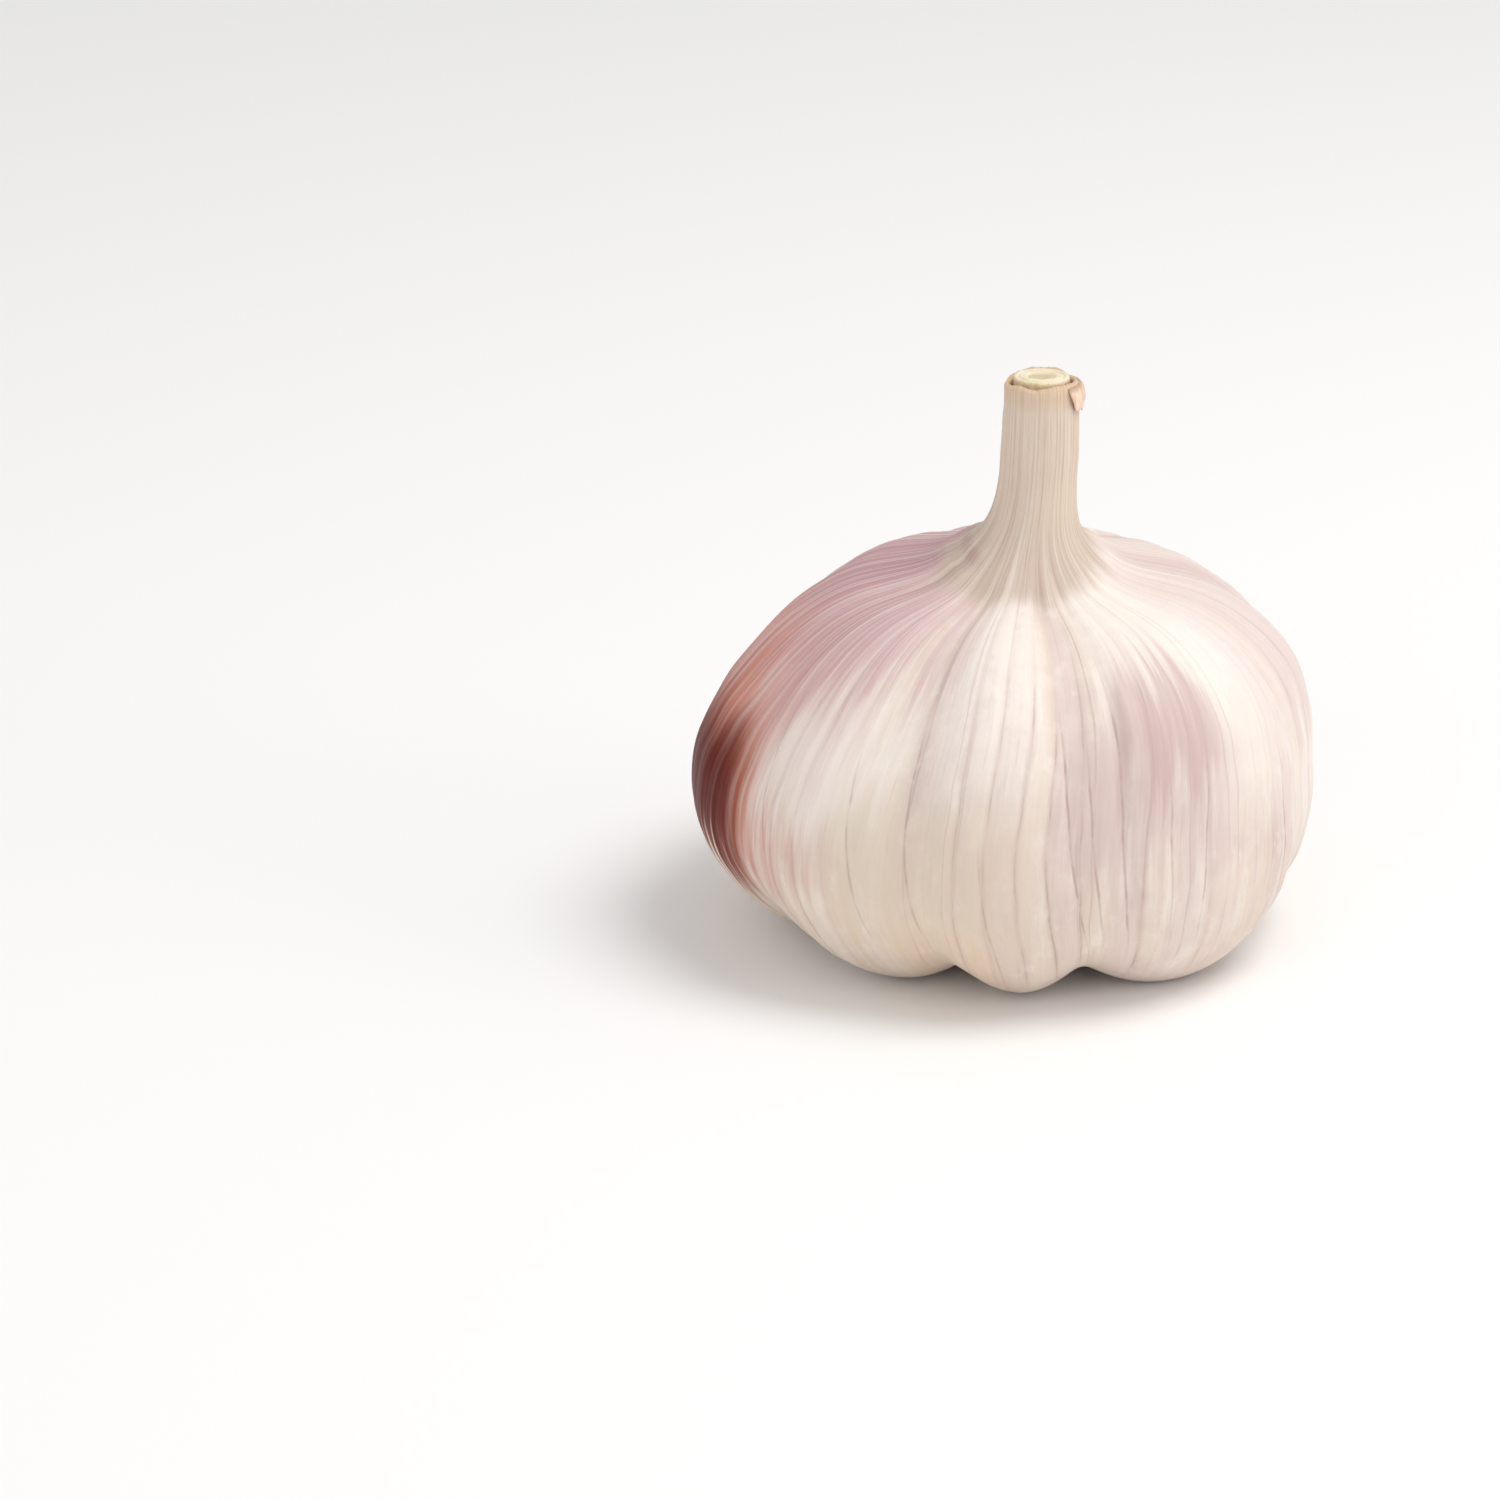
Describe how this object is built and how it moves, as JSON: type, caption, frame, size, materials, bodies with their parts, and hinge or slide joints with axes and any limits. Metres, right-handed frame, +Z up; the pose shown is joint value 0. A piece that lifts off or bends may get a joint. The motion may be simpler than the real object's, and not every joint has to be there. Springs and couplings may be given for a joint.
{
  "type": "garlic bulb",
  "caption": "Whole dried garlic bulb standing on its root plate: lobed cloves wrapped in papery streaked skin that gathers into a short cut neck; food prop.",
  "frame": {"origin": "middle of the root plate's flat underside, on the surface that the bulb stands on", "axes": "+Z up along the neck; -Y towards the narrow front clove; +X to the right seen from the front, and the body leans a little to -X of the neck"},
  "size_m": [0.0594, 0.0589, 0.0541],
  "materials": {
    "papery_skin": "dry satin skin, cream with fine mauve and brown veins",
    "cut_stalk": "pale dry fibrous cut",
    "corky_root": "matt tan cork with short trimmed roots"
  },
  "bodies": {
    "root": {"bulb": "papery_skin", "stalk": "cut_stalk", "root_plate": "corky_root"}
  },
  "joints": []
}
